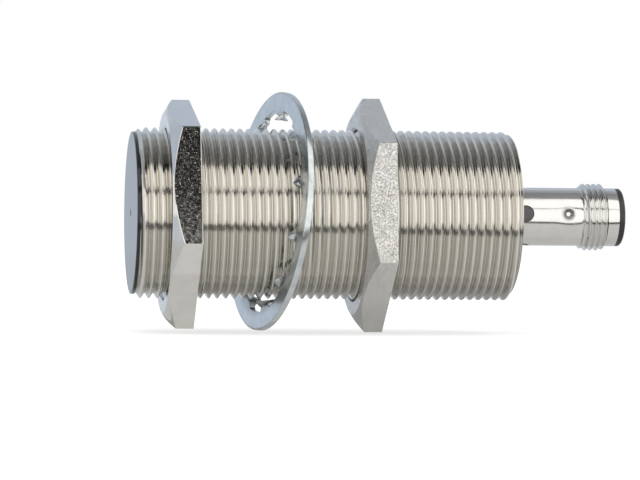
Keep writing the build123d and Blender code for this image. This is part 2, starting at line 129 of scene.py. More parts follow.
def new_finish(name):
    """Material with its nodes, its shader and the piece's own coordinates."""
    material = bpy.data.materials.new(name)
    material.use_nodes = True
    nodes, links = material.node_tree.nodes, material.node_tree.links
    shader = nodes["Principled BSDF"]
    place = nodes.new("ShaderNodeTexCoord")
    return material, nodes, links, shader, place.outputs["Object"]


def grain(nodes, links, place, size, detail=3.0):
    """Noise whose blots are about a size in millimetres."""
    mapping = nodes.new("ShaderNodeMapping")
    mapping.inputs["Scale"].default_value = (1 / MM, 1 / MM, 1 / MM)
    noise = nodes.new("ShaderNodeTexNoise")
    noise.inputs["Scale"].default_value = 1 / size
    noise.inputs["Detail"].default_value = detail
    links.new(place, mapping.inputs["Vector"])
    links.new(mapping.outputs["Vector"], noise.inputs["Vector"])
    return noise.outputs["Fac"]


def tones(nodes, links, value, stops, socket):
    """Colours along a value, from (place, colour) stops, into a socket."""
    ramp = nodes.new("ShaderNodeValToRGB")
    while len(ramp.color_ramp.elements) < len(stops):
        ramp.color_ramp.elements.new(0.5)
    for element, (at, colour) in zip(ramp.color_ramp.elements, stops):
        element.position = at
        element.color = (*colour, 1)
    links.new(value, ramp.inputs["Fac"])
    links.new(ramp.outputs["Color"], socket)


def stretched(nodes, links, value, start, end, low=0.0, high=1.0):
    """A number between a start and an end, stretched from low to high."""
    ranged = nodes.new("ShaderNodeMapRange")
    ranged.inputs["From Min"].default_value = start
    ranged.inputs["From Max"].default_value = end
    ranged.inputs["To Min"].default_value = low
    ranged.inputs["To Max"].default_value = high
    links.new(value, ranged.inputs["Value"])
    return ranged.outputs["Result"]


def uneven(nodes, links, noise, low, high, socket):
    """Noise turned into a range of numbers on a shader's socket."""
    links.new(stretched(nodes, links, noise, 0.3, 0.7, low, high), socket)


def relief(nodes, links, value, height, shader, strength=1.0):
    """Bump of a height in millimetres, on top of any bump the shader already has."""
    bump = nodes.new("ShaderNodeBump")
    bump.inputs["Strength"].default_value = strength
    bump.inputs["Distance"].default_value = height * MM
    links.new(value, bump.inputs["Height"])
    if shader.inputs["Normal"].is_linked:
        links.new(shader.inputs["Normal"].links[0].from_socket, bump.inputs["Normal"])
    links.new(bump.outputs["Normal"], shader.inputs["Normal"])


def nickel_plate(name, light, dark, low, high):
    """Bright nickel over turned brass: warm, faintly clouded and slightly uneven."""
    material, nodes, links, shader, place = new_finish(name)
    shader.inputs["Metallic"].default_value = 1.0
    clouds = grain(nodes, links, place, 2.5)
    tones(nodes, links, clouds, ((0.35, dark), (0.65, light)), shader.inputs["Base Color"])
    uneven(nodes, links, grain(nodes, links, place, 0.7), low, high, shader.inputs["Roughness"])
    relief(nodes, links, grain(nodes, links, place, 0.25), 0.004, shader, 0.5)
    return material


def turned_lines(nodes, links, place, spacing, waver):
    """Lines round the axis, a spacing in millimetres apart, as a cutting tool leaves them."""
    bands_rate = 20  # the wave texture's own rate at a scale of 1
    wave = nodes.new("ShaderNodeTexWave")
    wave.bands_direction = "X"
    wave.inputs["Scale"].default_value = 2 * pi / (bands_rate * spacing * MM)
    wave.inputs["Distortion"].default_value = waver
    links.new(place, wave.inputs["Vector"])
    return wave.outputs["Fac"]


def height_over(nodes, links, place, low, high):
    """How far a point stands out from the axis, 0 at the low radius and 1 at the high one."""
    across, distance = nodes.new("ShaderNodeVectorMath"), nodes.new("ShaderNodeVectorMath")
    across.operation, distance.operation = "MULTIPLY", "LENGTH"
    across.inputs[1].default_value = (0, 1, 1)
    links.new(place, across.inputs[0])
    links.new(across.outputs["Vector"], distance.inputs[0])
    return stretched(nodes, links, distance.outputs["Value"], low * MM, high * MM)


def threaded_nickel_groove_shade(name, crest, depth):
    """Nickel over a cut thread with tool lines, and painted shade darkening the grooves."""
    material, nodes, links, shader, place = new_finish(name)
    shader.inputs["Metallic"].default_value = 1.0
    # Painted shade: the colour darkens from the crest down to the groove's root.
    height = height_over(nodes, links, place, crest - depth, crest)
    lines = turned_lines(nodes, links, place, 0.37, 1.2)
    score_share = 0.45
    lines_and_groove_shade = nodes.new("ShaderNodeMath")
    lines_and_groove_shade.operation = "MULTIPLY_ADD"
    lines_and_groove_shade.inputs[1].default_value = score_share
    links.new(lines, lines_and_groove_shade.inputs[0])
    links.new(height, lines_and_groove_shade.inputs[2])
    top = 1 + score_share
    groove_shade_levels = ((0.1, (0.54, 0.52, 0.47)), (0.7, (0.68, 0.66, 0.61)), (1.15, (0.82, 0.81, 0.785)))
    groove_shade_levels = [(at / top, colour) for at, colour in groove_shade_levels]
    share = stretched(nodes, links, lines_and_groove_shade.outputs[0], 0, top)
    tones(nodes, links, share, groove_shade_levels, shader.inputs["Base Color"])
    uneven(nodes, links, grain(nodes, links, place, 0.7), 0.09, 0.17, shader.inputs["Roughness"])
    relief(nodes, links, grain(nodes, links, place, 0.25), 0.004, shader, 0.5)
    return material


BARREL_INSIDE = [
    (BARREL_REAR, BARREL_SEAT + 0.1),
    (BARREL_REAR - 0.1, BARREL_SEAT),
    (SEAT_FRONT, BARREL_SEAT),
    (SEAT_FRONT, BARREL_BORE),
    (BARREL_FRONT, BARREL_BORE),
]


def barrel_outline(angle):
    """The tube's section: its thread, cut back at both ends by the chamfers, and its inside."""

    def radius_at(x, turn):
        chamfered = BARREL_END + min(x - BARREL_FRONT, BARREL_REAR - x)
        return min(BARREL_CREST - THREAD_DEPTH * thread_drop(turn), chamfered)

    return thread_line(BARREL_FRONT, BARREL_REAR, PITCH, angle, radius_at) + BARREL_INSIDE


barrel_thread_rows = len(barrel_outline(0)) - len(BARREL_INSIDE)
barrel = turned_mesh("barrel", barrel_outline, even_angles(108), 0, barrel_thread_rows, sharp=40)
barrel.data.materials.append(threaded_nickel_groove_shade("nickel_thread_groove_shade", BARREL_CREST, THREAD_DEPTH))
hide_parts("housing_barrel")
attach(barrel, "sensor")

# Sensing cap: black plastic cup pushed into the tube, whose lip covers the tube's end.
# Its face is smooth, with the mark of the moulding gate in its middle.
CAP_RADIUS, LIP = 14.18, 0.6
SKIRT_RADIUS, SKIRT_BORE, SKIRT_REAR, FACE_WALL = 13.15, 11.85, 9.6, 1.0


def cap_outline(angle):
    """The cup's section, the same all round: gate mark, face and skirt."""
    gate = [(0.3, 0.0), (0.3, 0.5), (0.03, 0.62), (0.0, 0.75)]
    face = [
        (0.0, 0.9),
        (0.0, CAP_RADIUS - 0.35),
        (0.0, CAP_RADIUS - 0.25),
        (0.05, CAP_RADIUS - 0.08),
        (0.14, CAP_RADIUS),
    ]
    skirt = [
        (LIP, CAP_RADIUS),
        (LIP, SKIRT_RADIUS),
        (SKIRT_REAR, SKIRT_RADIUS),
        (SKIRT_REAR, SKIRT_BORE),
        (FACE_WALL, SKIRT_BORE),
        (FACE_WALL, 0.0),
    ]
    return gate + face + skirt


cap = turned_mesh("sensing_face_cap", cap_outline, even_angles(128))


def moulded_plastic(name, light, dark, low, high, pores=0.0025):
    """Moulded plastic: fine cloudy tone, uneven gloss and a slight texture."""
    material, nodes, links, shader, place = new_finish(name)
    clouds = grain(nodes, links, place, 1.6)
    tones(nodes, links, clouds, ((0.3, dark), (0.7, light)), shader.inputs["Base Color"])
    uneven(nodes, links, grain(nodes, links, place, 0.9), low, high, shader.inputs["Roughness"])
    relief(nodes, links, grain(nodes, links, place, 0.18), pores, shader, 0.4)
    return material


cap.data.materials.append(
    moulded_plastic("black_face", (0.020, 0.022, 0.026), (0.013, 0.015, 0.018), 0.10, 0.15, 0.0005)
)
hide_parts("sensing_cap")
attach(cap, "sensor")

# Seals: black rubber O-rings, squeezed in their grooves round the cap's skirt, the neck's
# flange and the contact carrier. None of them shows from outside.
seal_rubber = moulded_plastic("seal_rubber", (0.018, 0.018, 0.018), (0.01, 0.01, 0.01), 0.45, 0.6)


def dress(node, material):
    """Gives a piece that keeps its shape its material."""
    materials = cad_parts[node].data.materials
    materials.clear()
    materials.append(material)


for seal in ("cap_seal_ring", "shell_seal_ring", "carrier_seal_ring"):
    dress(seal, seal_rubber)

# Coil and core: a ferrite half pot with a wound plastic spool, in a brass shield ring,
# all behind the face.
ferrite = moulded_plastic("ferrite", (0.05, 0.05, 0.052), (0.03, 0.03, 0.032), 0.4, 0.7, 0.01)
spool_plastic = moulded_plastic("spool_plastic", (0.72, 0.70, 0.62), (0.62, 0.60, 0.52), 0.4, 0.5)
plain_brass = nickel_plate("plain_brass", (0.80, 0.62, 0.33), (0.70, 0.52, 0.25), 0.2, 0.32)


def enamelled_wire(name, colour, dark):
    """Copper wire laid turn by turn, under clear enamel."""
    material, nodes, links, shader, place = new_finish(name)
    shader.inputs["Metallic"].default_value = 1.0
    turns = turned_lines(nodes, links, place, 0.22, 0.6)
    tones(nodes, links, turns, ((0.1, dark), (0.6, colour)), shader.inputs["Base Color"])
    uneven(nodes, links, grain(nodes, links, place, 0.4), 0.25, 0.4, shader.inputs["Roughness"])
    relief(nodes, links, turns, 0.06, shader)
    return material


copper = enamelled_wire("copper", (0.78, 0.38, 0.20), (0.40, 0.16, 0.08))
for node, material in (
    ("pot_core", ferrite),
    ("coil_bobbin", spool_plastic),
    ("core_holder", spool_plastic),
    ("shield_ring", plain_brass),
    ("coil_winding", copper),
):
    dress(node, material)

# Electronics: glass-fibre board along the axis with its parts, and the wires to the coil
# and the plug, all cast in resin.
WEAVE_SIZE = 0.5


def woven_board(name):
    """Green solder mask over a glass weave that shows faintly."""
    material, nodes, links, shader, place = new_finish(name)
    weave = nodes.new("ShaderNodeTexChecker")
    weave.inputs["Scale"].default_value = 1 / (WEAVE_SIZE * MM)
    weave.inputs["Color1"].default_value = (0.012, 0.11, 0.045, 1)
    weave.inputs["Color2"].default_value = (0.016, 0.135, 0.055, 1)
    links.new(place, weave.inputs["Vector"])
    links.new(weave.outputs["Color"], shader.inputs["Base Color"])
    uneven(nodes, links, grain(nodes, links, place, 0.6), 0.3, 0.42, shader.inputs["Roughness"])
    relief(nodes, links, weave.outputs["Fac"], 0.01, shader)
    return material


dress("circuit_board", woven_board("board_laminate"))
chip_mould = moulded_plastic(
    "chip_mould", (0.03, 0.03, 0.032), (0.018, 0.018, 0.02), 0.5, 0.65, 0.008
)
dress("oscillator_chip", chip_mould)
dress("output_transistor", chip_mould)
for node, name, light, dark, low, high in (
    ("tantalum_capacitor", "tantalum_case", (0.75, 0.45, 0.06), (0.66, 0.37, 0.04), 0.35, 0.45),
    ("ceramic_capacitors", "ceramic_chip", (0.52, 0.40, 0.26), (0.42, 0.31, 0.19), 0.35, 0.5),
    ("chip_resistors", "resistor_chip", (0.03, 0.03, 0.03), (0.015, 0.015, 0.015), 0.3, 0.45),
    ("status_leds", "led_case", (0.85, 0.75, 0.35), (0.75, 0.62, 0.25), 0.2, 0.3),
    ("coil_leads", "lead_cover", (0.55, 0.05, 0.03), (0.45, 0.03, 0.02), 0.35, 0.45),
    ("pin_leads", "pin_lead_cover", (0.30, 0.16, 0.06), (0.22, 0.11, 0.04), 0.35, 0.45),
    ("potting_resin", "resin", (0.10, 0.10, 0.11), (0.06, 0.06, 0.07), 0.2, 0.35),
):
    dress(node, moulded_plastic(name, light, dark, low, high))

# Neck and plug: turned brass, nickel-plated. A flange in the tube's rear, a neck with four
# round windows and a stake mark that holds the insert, an M12 x 1 thread and a spigot.
FLANGE = (63.75, 66.35, 13.65)
NECK_RADIUS, NECK_BORE = 5.15, 4.65
WINDOW_STATION, WINDOW_RADIUS, SHELL_ROLL = 69.3, 1.48, 6.0
STAKE_STATION = 77.2
PLUG_THREAD, PLUG_PITCH, PLUG_CREST, PLUG_DEPTH = (79.6, 84.25), 1.0, 5.94, 0.6
PLUG_CHAMFER, CUT_START, RUN_IN_START, RUN_IN = 0.45, 79.26, 0.25, 0.6
SPIGOT_RADIUS, NECK_END = 5.17, 86.25
NECK_FILLET, NECK_ROW = 0.12, 0.13
BULGE_WALL, BULGE_ROWS = 0.15, range(8, -9, -1)


def neck_dent(x, angle):
    """Depth of the stake mark: a punched crater in a shallow dent round it."""
    facing = pi - radians(SHELL_ROLL)
    turn = (angle - facing + pi) % (2 * pi) - pi
    away = sqrt((x - STAKE_STATION) ** 2 + (turn * NECK_RADIUS) ** 2)
    dished, dish_depth = 2.9, 0.09
    rim, floor_radius, crater_depth = 1.0, 0.45, 0.38
    wide = dish_depth * (0.5 + 0.5 * cos(pi * away / dished)) if away < dished else 0.0
    crater = crater_depth * min((rim - away) / (rim - floor_radius), 1) if away < rim else 0.0
    return wide + crater


def shell_outline(angle):
    """The neck's section in three parts: flange and neck, thread, and spigot with the bore."""
    start, end = PLUG_THREAD

    def radius_at(x, turn):
        chamfered = PLUG_CREST - PLUG_CHAMFER + end - x
        blank = min(NECK_RADIUS + max(x - start, 0), PLUG_CREST, chamfered)
        run_in = min(max((x - start - RUN_IN_START) / RUN_IN, 0), 1)
        return blank - PLUG_DEPTH * thread_drop(turn) * run_in**2 * (3 - 2 * run_in)

    neck_rows = 1 + int((CUT_START - FLANGE[1] - NECK_FILLET) / NECK_ROW)
    neck = [FLANGE[1] + NECK_FILLET + NECK_ROW * row for row in range(neck_rows)]
    front = [
        (FLANGE[0], NECK_BORE),
        (FLANGE[0], FLANGE[2] - 0.15),
        (FLANGE[0] + 0.15, FLANGE[2]),
        (FLANGE[1] - 0.15, FLANGE[2]),
        (FLANGE[1], FLANGE[2] - 0.15),
        (FLANGE[1], FLANGE[2] - 0.25),
        (FLANGE[1], NECK_RADIUS + 0.22),
        (FLANGE[1], NECK_RADIUS + NECK_FILLET),
    ]
    surface = [(x, NECK_RADIUS - neck_dent(x, angle)) for x in neck]
    thread = thread_line(CUT_START, end, PLUG_PITCH, angle, radius_at)
    rear = [
        (end, SPIGOT_RADIUS),
        (NECK_END - 0.12, SPIGOT_RADIUS),
        (NECK_END - 0.03, SPIGOT_RADIUS - 0.03),
        (NECK_END, SPIGOT_RADIUS - 0.12),
        (NECK_END, NECK_BORE),
    ]
    bulge = [
        (x, min(NECK_BORE, NECK_RADIUS - neck_dent(x, angle) - BULGE_WALL))
        for x in (STAKE_STATION + NECK_ROW * step for step in BULGE_ROWS)
    ]
    return front + surface, thread, rear + bulge


shell_front, shell_thread, _ = (len(part) for part in shell_outline(0))
shell = turned_mesh(
    "plug_shell",
    lambda angle: sum(shell_outline(angle), []),
    even_angles(144),
    shell_front,
    shell_thread,
    sharp=40,
)


def round_cutter(station, roll, radius, depth_from, depth_to):
    """Short round bar that stands out from the axis, to take a hole out of a wall."""
    work = bmesh.new()
    bmesh.ops.create_cone(
        work, cap_ends=True, segments=64, radius1=radius * MM, radius2=radius * MM,
        depth=(depth_to - depth_from) * MM,
    )
    outward = Vector((0, -cos(radians(roll)), sin(radians(roll))))
    turn = Vector((0, 0, 1)).rotation_difference(outward).to_matrix().to_4x4()
    middle = Vector((station, 0, 0)) * MM + outward * (depth_from + depth_to) / 2 * MM
    work.transform(Matrix.Translation(middle) @ turn)
    mesh = bpy.data.meshes.new("cutter")
    work.to_mesh(mesh)
    work.free()
    cutter = bpy.data.objects.new("cutter", mesh)
    bpy.context.scene.collection.objects.link(cutter)
    return cutter


CUTTER_REACH = (3.0, 7.0)
for quarter in range(4):
    roll = SHELL_ROLL + 90 * quarter
    cutter = round_cutter(WINDOW_STATION, roll, WINDOW_RADIUS, *CUTTER_REACH)
    hole = shell.modifiers.new("window", "BOOLEAN")
    hole.operation = "DIFFERENCE"
    hole.solver = "EXACT"
    hole.object = cutter
    seen = bpy.context.evaluated_depsgraph_get()
    cut = bpy.data.meshes.new_from_object(shell.evaluated_get(seen))
    shell.modifiers.clear()
    shell.data = cut
    bpy.data.objects.remove(cutter)


def toned_down(nodes, links, value, stops, colour):
    """Darkens a linked colour along a value, from (place, brightness) stops."""
    darker = nodes.new("ShaderNodeMix")
    darker.data_type, darker.blend_type = "RGBA", "MULTIPLY"
    darker.inputs["Factor"].default_value = 1.0
    links.new(colour.links[0].from_socket, darker.inputs["A"])
    greys = [(at, (level, level, level)) for at, level in stops]
    tones(nodes, links, value, greys, darker.inputs["B"])
    links.new(darker.outputs["Result"], colour)


def punched_ring_shade(material, place, middle, rings):
    """Painted shade round a punched mark, from (millimetres out, brightness) pairs."""
    nodes, links = material.node_tree.nodes, material.node_tree.links
    away = nodes.new("ShaderNodeVectorMath")
    away.operation = "DISTANCE"
    away.inputs[1].default_value = [v * MM for v in middle]
    links.new(place, away.inputs[0])
    reach = rings[-1][0]
    out_share = stretched(nodes, links, away.outputs["Value"], 0, reach * MM)
    stops = [(out / reach, level) for out, level in rings]
    toned_down(nodes, links, out_share, stops, nodes["Principled BSDF"].inputs["Base Color"])
    return material


MARK_SETBACK, MARK_RADIUS = 0.2, 4.8
# Painted shade in the stake mark: dark on the crater's walls, bright on its floor, fading out past
# the rim.
MARK_SHADE_RINGS = ((0.30, 1.0), (0.48, 0.22), (0.85, 0.28), (1.15, 0.75), (1.5, 1.0))
mark_middle = (
    STAKE_STATION - MARK_SETBACK,
    -cos(radians(SHELL_ROLL)) * MARK_RADIUS,
    sin(radians(SHELL_ROLL)) * MARK_RADIUS,
)
neck_nickel = nickel_plate("nickel_neck_mark_shade", (0.785, 0.78, 0.765), (0.745, 0.74, 0.72), 0.10, 0.16)
neck_place = neck_nickel.node_tree.nodes["Texture Coordinate"].outputs["Object"]
shell.data.materials.clear()
shell.data.materials.append(punched_ring_shade(neck_nickel, neck_place, mark_middle, MARK_SHADE_RINGS))
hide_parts("connector_shell")
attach(shell, "sensor")

# Light guide: moulded ring of smoked, translucent plastic. It is pushed into the neck, and
# its four lugs snap into the windows.
smoked = moulded_plastic("smoked_guide", (0.115, 0.098, 0.105), (0.10, 0.086, 0.092), 0.30, 0.42)
dress("light_guide", smoked)

# Contact carrier and pins: black moulded insert with a keyed socket, held in the neck by the
# stake mark, and four turned brass pins, gilt, pressed into it.
insert_plastic = moulded_plastic(
    "black_insert", (0.032, 0.028, 0.031), (0.024, 0.021, 0.024), 0.32, 0.45
)
dress("contact_carrier", insert_plastic)
gilt = nickel_plate("gold_contact", (0.95, 0.72, 0.35), (0.90, 0.65, 0.28), 0.12, 0.2)
for number in range(1, 5):
    dress(f"contact_pin_{number}", gilt)

# Nuts: two flat hexagon nuts, 36 across flats and 5 thick, turned and nickel-plated brass,
# chamfered at 30 degrees on the side towards the sensing face.
ACROSS_FLATS, NUT_THICKNESS = 36.0, 5.0
NUT_BORE, NUT_THREAD_DEPTH, NUT_MOUTH, CHAMFER_START = 14.97, 0.32, 15.38, 17.5
CHAMFER_ANGLE, CORNER_ROUNDING, FLAT_STEPS = radians(30), 0.06, 33
CORNER_RADIUS = ACROSS_FLATS / 2 / cos(pi / 6) - CORNER_ROUNDING
FLAT_END = acos(ACROSS_FLATS / 2 / CORNER_RADIUS)


def nut_angles(roll):
    """Directions round the nut: steps over each flat and one in the middle of each corner."""
    angles = []
    for flat in range(6):
        middle = pi - radians(roll) + flat * pi / 3
        for step in range(FLAT_STEPS + 1):
            angles.append(middle + FLAT_END * (2 * step / FLAT_STEPS - 1))
        angles.append(middle + pi / 6)
    return angles


def nut_side(angle, roll):
    """Distance from the axis to the nut's side, its corners slightly rounded."""
    turn = ((angle - pi + radians(roll) + pi / 6) % (pi / 3)) - pi / 6
    return min(ACROSS_FLATS / 2 / cos(turn), CORNER_RADIUS)


def hex_nut(name, node, seat, roll, finish):
    """Nut whose flat rear face is at a station, with a flat turned up by a roll in degrees."""
    front = seat - NUT_THICKNESS

    def outline(angle):
        side = nut_side(angle, roll)
        shoulder = front + (side - CHAMFER_START) * tan(CHAMFER_ANGLE)

        def bore_at(x, turn):
            mouth = NUT_MOUTH - min(x - front, seat - x)
            return max(NUT_BORE + NUT_THREAD_DEPTH * thread_drop(turn), mouth)

        outside = [
            (seat, NUT_MOUTH),
            (seat, side - 0.16),
            (seat, side - 0.10),
            (seat - 0.03, side - 0.03),
            (seat - 0.10, side),
            (seat - 0.16, side),
            (shoulder + 0.13, side),
            (shoulder + 0.07, side),
            (shoulder - 0.012, side - 0.04),
            (shoulder - 0.046, side - 0.10),
            (front + 0.07, CHAMFER_START + 0.12),
            (front + 0.035, CHAMFER_START + 0.06),
            (front, CHAMFER_START - 0.06),
            (front, CHAMFER_START - 0.12),
            (front, NUT_MOUTH),
        ]
        return thread_line(front, seat, PITCH, angle, bore_at), outside

    thread_rows = len(outline(0)[0])
    nut = turned_mesh(
        name, lambda angle: sum(outline(angle), []), nut_angles(roll), 0, thread_rows, sharp=28
    )
    nut.data.materials.append(finish)
    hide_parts(node)
    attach(nut, node)


def peened_nickel(name, light, dark, size, dimple, pit_size, pits, rarity, shine):
    """Plated nut: smooth nickel over a faint orange peel, with small pits here and there."""
    material, nodes, links, shader, place = new_finish(name)
    shader.inputs["Metallic"].default_value = 1.0
    clouds = grain(nodes, links, place, 3.0)
    tones(nodes, links, clouds, ((0.35, dark), (0.65, light)), shader.inputs["Base Color"])
    patches = grain(nodes, links, place, 0.6)
    uneven(nodes, links, patches, shine, shine + 0.08, shader.inputs["Roughness"])
    relief(nodes, links, grain(nodes, links, place, size, 2.0), dimple, shader)
    pocks = grain(nodes, links, place, pit_size, 2.0)
    relief(nodes, links, stretched(nodes, links, pocks, rarity, rarity + 0.08), -pits, shader)
    return material


polished = peened_nickel(
    "polished_nut", (0.80, 0.785, 0.755), (0.75, 0.735, 0.70), 0.4, 0.0010, 0.20, 0.011, 0.68, 0.04
)
dimpled = peened_nickel(
    "dimpled_nut", (0.74, 0.73, 0.71), (0.70, 0.69, 0.66), 0.20, 0.085, 0.20, 0.32, 0.53, 0.10
)
hex_nut("hexagon_nut_front", "nut_front", 10.66, 15.42, polished)
hex_nut("hexagon_nut_rear", "nut_rear", 44.23, 6.75, dimpled)

# Lock washer: stamped from zinc-plated spring steel, with eleven inner teeth, each twisted
# about its own length. It hangs loose and tilted on the barrel between the nuts.
WASHER_THICKNESS, WASHER_STATION, WASHER_LIFT = 1.05, 24.5, 0.498
WASHER_YAW, WASHER_PITCH = radians(11.15), radians(5.8)
TIP_RADIUS, RING_RADIUS, WASHER_RADIUS = 16.1, 17.8, 21.0
EDGE_ROUNDING = 0.11
TEETH, TOOTH_WIDTH, TOOTH_NECK, TOOTH_ROOT = 11, 3.8, 0.7, 0.5
TOOTH_FIRST, TOOTH_TWIST = radians(2.5), radians(41)


def tooth_half(depth):
    """Half a tooth's width at a depth inwards from the ring, flared at the root."""
    if depth >= TOOTH_ROOT:
        return TOOTH_WIDTH / 2
    return TOOTH_WIDTH / 2 + TOOTH_ROOT - sqrt(TOOTH_ROOT**2 - (TOOTH_ROOT - depth) ** 2)


def flat_washer():
    """The blank as quads: each tooth and its share of the ring, before thickness."""
    points, faces = [], []

    def add(x, y):
        points.append((x * MM, y * MM, 0.0))
        return len(points) - 1

    across, gap_steps = 8, 6
    ring_radii = (RING_RADIUS, 18.4, 19.4, 20.4, WASHER_RADIUS)
    depths = [0.0, 0.12, 0.3, 0.5, 0.7, 0.95, 1.2, 1.45, RING_RADIUS - TIP_RADIUS]
    for tooth in range(TEETH):
        middle = TOOTH_FIRST + 2 * pi * tooth / TEETH

        def turned(radial, side):
            return add(
                radial * cos(middle) - side * sin(middle),
                radial * sin(middle) + side * cos(middle),
            )

        sides = [tooth_half(0) * (2 * i / across - 1) for i in range(across + 1)]
        angles = [atan2(side, sqrt(RING_RADIUS**2 - side**2)) for side in sides]
        gap_start, gap_end = angles[-1], 2 * pi / TEETH + angles[0]
        for i in range(1, gap_steps + 1):
            angles.append(gap_start + (gap_end - gap_start) * i / gap_steps)
        rings = []
        for radius in ring_radii:
            rings.append([turned(radius * cos(a), radius * sin(a)) for a in angles])
        for inner, outer in zip(rings, rings[1:]):
            for i in range(len(angles) - 1):
                faces.append((inner[i], outer[i], outer[i + 1], inner[i + 1]))
        rows = [rings[0][: across + 1]]
        for depth in depths[1:]:
            wide = tooth_half(depth)
            row = []
            for i in range(across + 1):
                side = wide * (2 * i / across - 1)
                row.append(turned(sqrt((RING_RADIUS - depth) ** 2 - side**2), side))
            rows.append(row)
        for outer, inner in zip(rows, rows[1:]):
            for i in range(across):
                faces.append((inner[i], outer[i], outer[i + 1], inner[i + 1]))
    return points, faces


washer = finished_mesh("lock_washer_ring", *flat_washer())
thick = washer.modifiers.new("thickness", "SOLIDIFY")
thick.thickness = WASHER_THICKNESS * MM
thick.offset = 0
rounding = washer.modifiers.new("rounding", "BEVEL")
rounding.width = EDGE_ROUNDING * MM
rounding.segments = 3
rounding.limit_method = "ANGLE"
rounding.angle_limit = radians(50)
seen = bpy.context.evaluated_depsgraph_get()
washer.data = bpy.data.meshes.new_from_object(washer.evaluated_get(seen))
washer.modifiers.clear()

# Each tooth is twisted from its neck to its tip, and then the whole ring is tilted into place
for vertex in washer.data.vertices:
    x, y, h = vertex.co / MM
    bearing = atan2(y, x) - TOOTH_FIRST
    middle = TOOTH_FIRST + round(bearing / (2 * pi / TEETH)) * 2 * pi / TEETH
    along = x * cos(middle) + y * sin(middle)
    side = -x * sin(middle) + y * cos(middle)
    depth = RING_RADIUS - TOOTH_NECK - sqrt(along**2 + side**2)
    reach = RING_RADIUS - TOOTH_NECK - TIP_RADIUS
    if depth > 0:
        share = min(depth / reach, 1.0)
        twist = TOOTH_TWIST * (1 - (1 - share) ** 2)
        side, h = side * cos(twist) + h * sin(twist), -side * sin(twist) + h * cos(twist)
        x = along * cos(middle) - side * sin(middle)
        y = along * sin(middle) + side * cos(middle)
        vertex.co = Vector((x, y, h)) * MM
top = Vector((sin(WASHER_PITCH), 0, cos(WASHER_PITCH)))
normal = Vector((cos(WASHER_YAW), sin(WASHER_YAW), 0)) * cos(WASHER_PITCH)
normal.z = -sin(WASHER_PITCH)
normal = (normal - top * normal.dot(top)).normalized()
aside = normal.cross(top)
placing = Matrix((top, aside, normal)).transposed().to_4x4()
placing.translation = Vector((WASHER_STATION, 0, WASHER_LIFT)) * MM
washer.data.transform(placing)


def zinc_plate_tooth_shade(name):
    """Bright zinc on spring steel, bluish and a little cloudy, with painted shade on the teeth."""
    material, nodes, links, shader, place = new_finish(name)
    shader.inputs["Metallic"].default_value = 1.0
    clouds = grain(nodes, links, place, 1.8)
    colour = shader.inputs["Base Color"]
    tones(nodes, links, clouds, ((0.35, (0.56, 0.60, 0.62)), (0.65, (0.65, 0.69, 0.71))), colour)
    # Painted shade: darker from the ring inwards onto the teeth.
    outer = height_over(nodes, links, place, 16.8, 18.4)
    toned_down(nodes, links, outer, ((0.0, 0.66), (1.0, 1.0)), colour)
    uneven(nodes, links, grain(nodes, links, place, 0.5), 0.15, 0.24, shader.inputs["Roughness"])
    relief(nodes, links, grain(nodes, links, place, 0.22), 0.003, shader)
    return material


washer.data.materials.clear()
washer.data.materials.append(zinc_plate_tooth_shade("zinc_steel"))
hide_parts("lock_washer")
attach(washer, "lock_washer")

# Studio: pale floor under the nuts and white all round. Cards that only reflections show
# stand along the barrel: a soft box in front, greys behind, and dark gaps between them.
FLOOR_HEIGHT = -20.9


def sheet(name, corners, quads, material):
    """Flat piece of the studio, which isn't part of the object."""
    mesh = bpy.data.meshes.new(name)
    mesh.from_pydata(corners, [], quads)
    mesh.materials.append(material)
    card = bpy.data.objects.new(name, mesh)
    bpy.context.scene.collection.objects.link(card)
    return card


def reflected_only(card):
    """Leaves a card in reflections and takes it out of everything else."""
    card.visible_camera = False
    card.visible_diffuse = False
    card.visible_shadow = False
    card.visible_transmission = False
    return card


def glow(name, colour, strength):
    """Plain light of one colour, as a lit card gives."""
    material = bpy.data.materials.new(name)
    material.use_nodes = True
    nodes, links = material.node_tree.nodes, material.node_tree.links
    nodes.clear()
    light = nodes.new("ShaderNodeEmission")
    light.inputs["Color"].default_value = (*colour, 1)
    light.inputs["Strength"].default_value = strength
    out = nodes.new("ShaderNodeOutputMaterial")
    links.new(light.outputs["Emission"], out.inputs["Surface"])
    return material


def card_around(name, stations, colour, strength, distance=0.9):
    """Card along the barrel, from (x, low, high): metres along the axis, and its lower and
    upper edge in degrees up from the camera's side."""
    corners, quads = [], []
    for x, *edges in stations:
        for degrees in edges:
            corners.append((x, -cos(radians(degrees)) * distance, sin(radians(degrees)) * distance))
    for first in range(0, 2 * len(stations) - 2, 2):
        quads.append((first, first + 2, first + 3, first + 1))
    return reflected_only(sheet(name, corners, quads, glow(name, colour, strength)))


SOFT_WHITE, WHITE = (1.0, 0.98, 0.96), (1.0, 1.0, 1.0)
BOX_STRENGTH, GAP_DISTANCE = 1.34, 0.95
LEFT, PLUG_SIDE, RIGHT = -3.0, 0.257, 3.4
card_around(
    "soft_box_low",
    ((LEFT, -3, 28.5), (0.1, -3, 28.5), (0.25, -3, 29), (PLUG_SIDE, -3, 31.3), (RIGHT, -3, 31.3)),
    SOFT_WHITE,
    BOX_STRENGTH,
)
card_around(
    "soft_box_high",
    (
        (LEFT, 37.5, 64), (0.1, 37.5, 65), (0.17, 35.5, 67), (0.25, 33.5, 69),
        (PLUG_SIDE, 33, 75.5), (RIGHT, 33, 75.5),
    ),
    SOFT_WHITE,
    BOX_STRENGTH,
)
card_around("gap_in_soft_box", ((LEFT, 25, 40), (RIGHT, 25, 40)), WHITE, 0.02, GAP_DISTANCE)
card_around("gap_above", ((LEFT, 62, 80), (PLUG_SIDE, 62, 80)), WHITE, 0.012, GAP_DISTANCE)
card_around("grey_above", ((LEFT, 80, 96), (PLUG_SIDE, 80, 96)), (0.97, 1.0, 1.05), 0.15)
